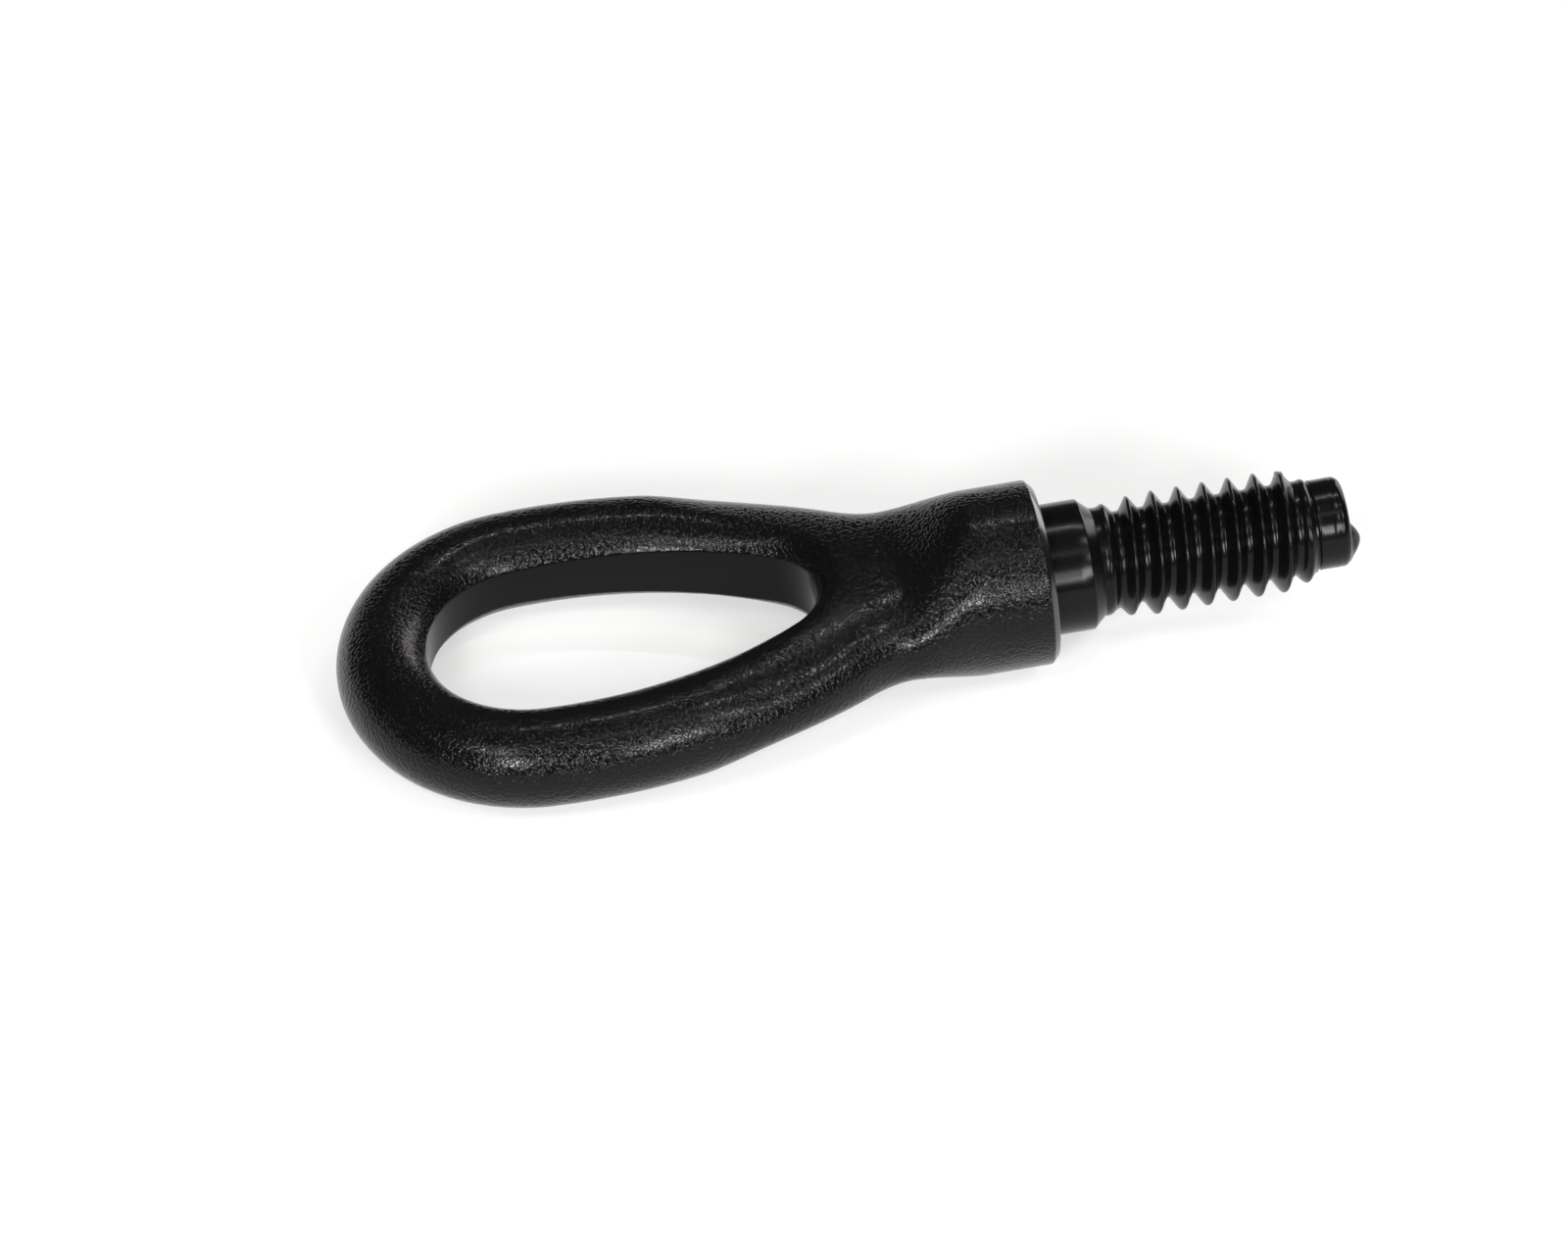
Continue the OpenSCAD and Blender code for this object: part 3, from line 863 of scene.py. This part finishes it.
# Name, level, elevation and azimuth in degrees, distance, width and height in metres, tint; azimuth 0 is
# the camera's side
LAMPS = (
    ("left_box", "left", 27.0, -28.0, 1.2, 0.2, 0.34, WHITE),
    ("upper_left_box", "left_high", 48.0, -47.0, 1.2, 0.4, 0.25, WHITE),
    ("right_box", "right", 26.0, 18.0, 1.2, 0.35, 0.29, WHITE),
    ("right_core", "core", 18.0, 10.5, 1.15, 0.1, 0.15, WHITE),
    ("upper_right_box", "right_high", 47.0, 42.0, 1.2, 0.36, 0.2, WHITE),
    ("top_lamp", "top", 70.0, 72.0, 1.2, 0.15, 0.2, WHITE),
    ("warm_card", "card", 65.0, 0.0, 1.4, 1.3, 0.2, (1.0, 0.9, 0.76)),
    ("strip_lamp", "strip", 66.0, 166.0, 1.5, 0.7, 0.02, (0.94, 0.97, 1.0)),
    ("back_lamp", "back", 13.0, 134.0, 1.4, 0.9, 0.6, (1.0, 0.95, 0.93)),
)


def toward(elevation, azimuth):
    """Direction from the object; azimuth 0 is the camera's side."""
    flat = math.cos(elevation)
    return Vector((math.sin(azimuth) * flat, -math.cos(azimuth) * flat, math.sin(elevation)))


def add_lamp(name, radiance, elevation, azimuth, distance, width, height, tint):
    """Area lamp aimed at the object."""
    data = bpy.data.lights.new(name, "AREA")
    data.shape = "RECTANGLE"
    data.size, data.size_y = width, height
    # Watts at which a lamp of this size has that radiance
    data.energy = math.pi * width * height * radiance
    data.color = tint
    way = toward(math.radians(elevation), math.radians(azimuth))
    lamp = bpy.data.objects.new(name, data)
    lamp.location = LAMP_AIM + way * distance
    lamp.rotation_mode = "QUATERNION"
    lamp.rotation_quaternion = way.to_track_quat("Z", "Y")
    bpy.context.collection.objects.link(lamp)


# Where the camera stood, about the shank's own axes: elevation, azimuth and roll in degrees, pixels
# for one metre at the pivot, distance in metres, and the pivot's place in a 1600 by 1271 picture
VIEW = {
    "elevation": 41.216, "azimuth": -7.855, "roll": -4.362, "scale": 6646.95, "distance": 1.51373,
    "pivot": (-0.020, 0.0, 0.0), "at": (934.309, 604.25), "size": (1600, 1271),
}
SENSOR_WIDTH = 36.0


def add_camera():
    """Camera without shift: it is turned until the object lies where it does in the picture."""
    elevation, azimuth, roll = (math.radians(VIEW[k]) for k in ("elevation", "azimuth", "roll"))
    back = toward(elevation, azimuth)
    right = Vector((math.cos(azimuth), math.sin(azimuth), 0.0))
    up = back.cross(right)
    right, up = (
        right * math.cos(roll) + up * math.sin(roll),
        up * math.cos(roll) - right * math.sin(roll),
    )
    focal = VIEW["scale"] * VIEW["distance"]
    width, height = VIEW["size"]
    aim = -back * focal + right * (width / 2 - VIEW["at"][0]) + up * (VIEW["at"][1] - height / 2)
    turn = laid_down().to_3x3()
    aim, up = (turn @ aim).normalized(), turn @ up
    side = aim.cross(up).normalized()
    up = side.cross(aim)
    data = bpy.data.cameras.new("camera")
    data.sensor_width = SENSOR_WIDTH
    data.lens = focal / width * SENSOR_WIDTH
    data.clip_start, data.clip_end = 0.05, 20.0
    camera = bpy.data.objects.new("camera", data)
    stand = turn @ (Vector(VIEW["pivot"]) + back * VIEW["distance"])
    camera.matrix_world = Matrix.Translation(stand) @ Matrix((side, up, -aim)).transposed().to_4x4()
    bpy.context.collection.objects.link(camera)
    bpy.context.scene.camera = camera


FLOOR_REACH = 3.0
# Distances from the origin between which the floor fades, and its share of glow and its colour far out:
# painted shade, a dark floor far out for the coat to reflect
FLOOR_FADE = (0.24, 0.75)
FLOOR_FAR_SHARE = 0.3
FLOOR_FAR_PAINTED_SHADE = (0.1, 0.1, 0.1)


def floor_material(tint, lift):
    """Pale floor that stands as the white ground and keeps the object's shadow, and fades far out to a
    painted dark that the coat reflects as shade.
    """
    material, n, shader = new_material("floor", 0.0)
    shader["Roughness"].default_value = 0.9
    place = n.add("ShaderNodeTexCoord").outputs["Object"]
    away = n.add("ShaderNodeVectorMath", {0: place}, operation="LENGTH").outputs["Value"]
    near = n.span(away, *FLOOR_FADE, out_low=1.0, out_high=FLOOR_FAR_SHARE)
    rays = n.add("ShaderNodeLightPath").outputs
    seen = n.math("ADD", rays["Is Camera Ray"], rays["Is Glossy Ray"])
    seen = n.math("ADD", seen, rays["Is Transmission Ray"], clamp=True)
    # Painted shade: away from the object the floor turns dark and its glow drops
    n.put(shader["Base Color"], n.blend(near, FLOOR_FAR_PAINTED_SHADE, tint))
    n.put(shader["Emission Color"], (1.0, 1.0, 1.0, 1.0))
    n.put(shader["Emission Strength"], n.math("MULTIPLY", n.math("MULTIPLY", seen, near), lift))
    return material


def add_floor(tint, lift):
    """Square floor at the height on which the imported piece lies."""
    x = FLOOR_REACH
    z = CAD_BOX[0][2]
    mesh = bpy.data.meshes.new("floor")
    mesh.from_pydata([(-x, -x, z), (x, -x, z), (x, x, z), (-x, x, z)], [], [(0, 1, 2, 3)])
    mesh.materials.append(floor_material(tint, lift))
    floor = bpy.data.objects.new("floor", mesh)
    bpy.context.collection.objects.link(floor)


def add_surroundings(scene, level):
    scene.world = scene.world or bpy.data.worlds.new("surroundings")
    scene.world.use_nodes = True
    background = scene.world.node_tree.nodes["Background"].inputs
    background["Color"].default_value = (1.0, 0.985, 0.98, 1.0)
    background["Strength"].default_value = level


class TOWEYE_OT_studio(bpy.types.Operator):
    """Build the stage: pale floor, lamps, surroundings and camera"""

    bl_idname = "toweye.studio"
    bl_label = "Studio"

    def execute(self, context):
        scene = context.scene
        setup = scene.toweye_studio
        add_floor(setup.floor, setup.floor_lift)
        for name, level, *place in LAMPS:
            add_lamp(name, getattr(setup, level), *place)
        add_surroundings(scene, setup.world)
        add_camera()
        scene.view_settings.view_transform = "Standard"
        return {"FINISHED"}


class TOWEYE_PT_panel(bpy.types.Panel):
    """Buttons for the tow eye's pieces and its studio"""

    bl_idname = "TOWEYE_PT_panel"
    bl_label = "Tow Eye"
    bl_space_type = "VIEW_3D"
    bl_region_type = "UI"
    bl_category = "Tow Eye"

    def draw(self, context):
        layout = self.layout
        for group in GROUPS:
            box = layout.box()
            box.label(text=group.replace("toweye_", "").capitalize())
            settings = getattr(context.scene, group)
            for key in settings.bl_rna.properties.keys():
                if key not in {"rna_type", "name"}:
                    box.prop(settings, key)
        for step in STEPS:
            layout.operator(step.bl_idname)


GROUPS = {
    "toweye_head": HeadSizes,
    "toweye_shank": ShankSizes,
    "toweye_coat": CoatLook,
    "toweye_studio": StudioSetup,
}
STEPS = (TOWEYE_OT_head, TOWEYE_OT_shank, TOWEYE_OT_studio)


def register():
    for cls in (*GROUPS.values(), *STEPS, TOWEYE_PT_panel):
        bpy.utils.register_class(cls)
    for key, group in GROUPS.items():
        setattr(bpy.types.Scene, key, PointerProperty(type=group))


def unregister():
    for key in GROUPS:
        delattr(bpy.types.Scene, key)
    for cls in reversed((*GROUPS.values(), *STEPS, TOWEYE_PT_panel)):
        bpy.utils.unregister_class(cls)


def main():
    register()
    bpy.ops.toweye.head()
    bpy.ops.toweye.shank()
    bpy.ops.toweye.studio()


if __name__ == "__main__":
    main()
